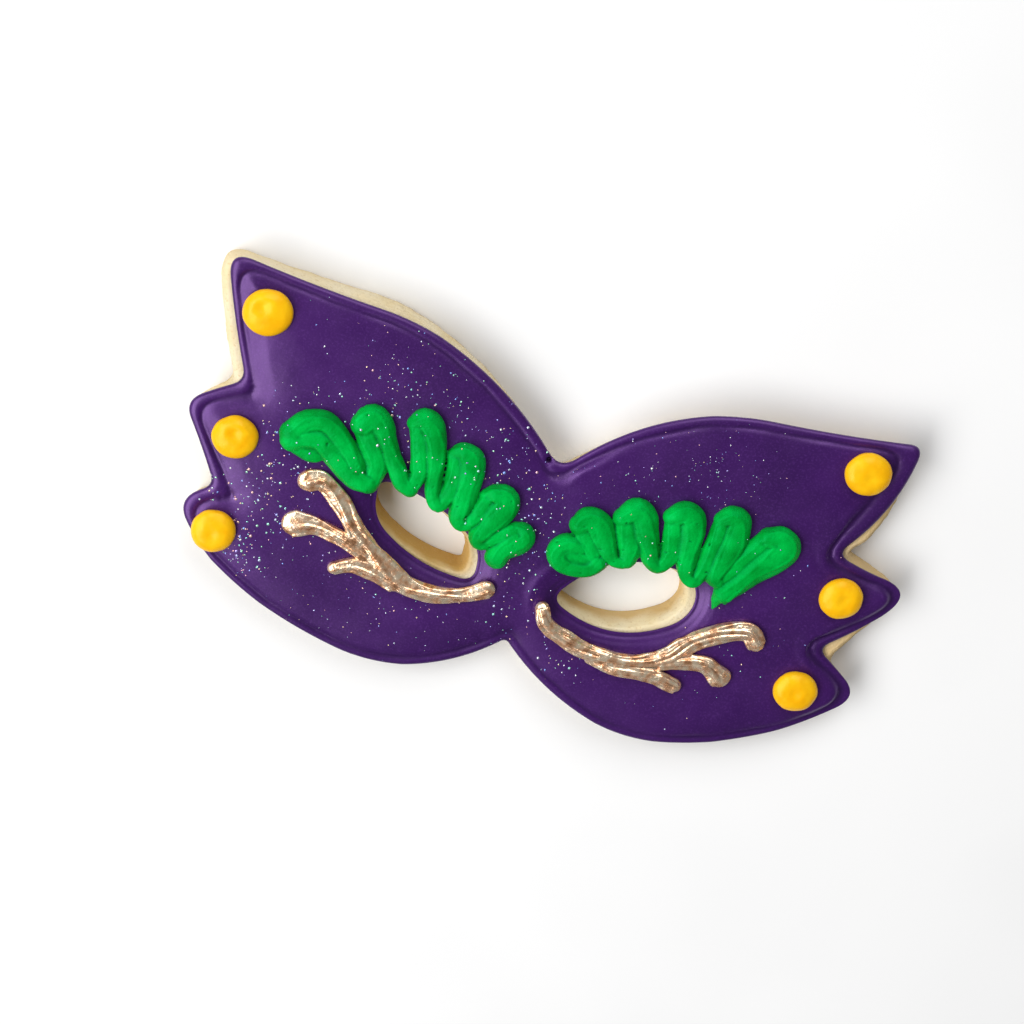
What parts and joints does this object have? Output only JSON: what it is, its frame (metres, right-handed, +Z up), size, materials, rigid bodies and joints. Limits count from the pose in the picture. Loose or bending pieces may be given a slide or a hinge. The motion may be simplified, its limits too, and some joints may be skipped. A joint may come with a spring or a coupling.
{
  "type": "decorated butter cookie",
  "caption": "Butter cookie cut as a masquerade mask with open eye holes, purple icing with a piped rim, green piped plumes, gold-painted sprays, yellow sugar dots and glitter.",
  "frame": {"origin": "centre of the footprint, on the flat underside of the biscuit", "axes": "+X across the mask from its left wing to its right wing as seen from above, +Y towards the brows, +Z up out of the iced face"},
  "size_m": [0.1146, 0.0594, 0.0088],
  "materials": {
    "biscuit": "pale baked butter biscuit, dry and finely crumbed",
    "purple_icing": "dark purple royal icing, smooth satin",
    "green_icing": "bright green piped icing, soft satin",
    "gold_paint": "metallic champagne-gold lustre paint over piped icing",
    "yellow_icing": "warm yellow piped icing, satin",
    "glitter": "fine iridescent sugar glitter"
  },
  "bodies": {
    "root": {"biscuit": "biscuit", "purple_icing": "purple_icing", "green_plume_left": "green_icing", "green_plume_right": "green_icing", "gold_spray_left": "gold_paint", "gold_spray_right": "gold_paint", "yellow_dot_left_top": "yellow_icing", "yellow_dot_left_middle": "yellow_icing", "yellow_dot_left_bottom": "yellow_icing", "yellow_dot_right_top": "yellow_icing", "yellow_dot_right_middle": "yellow_icing", "yellow_dot_right_bottom": "yellow_icing"}
  },
  "joints": []
}
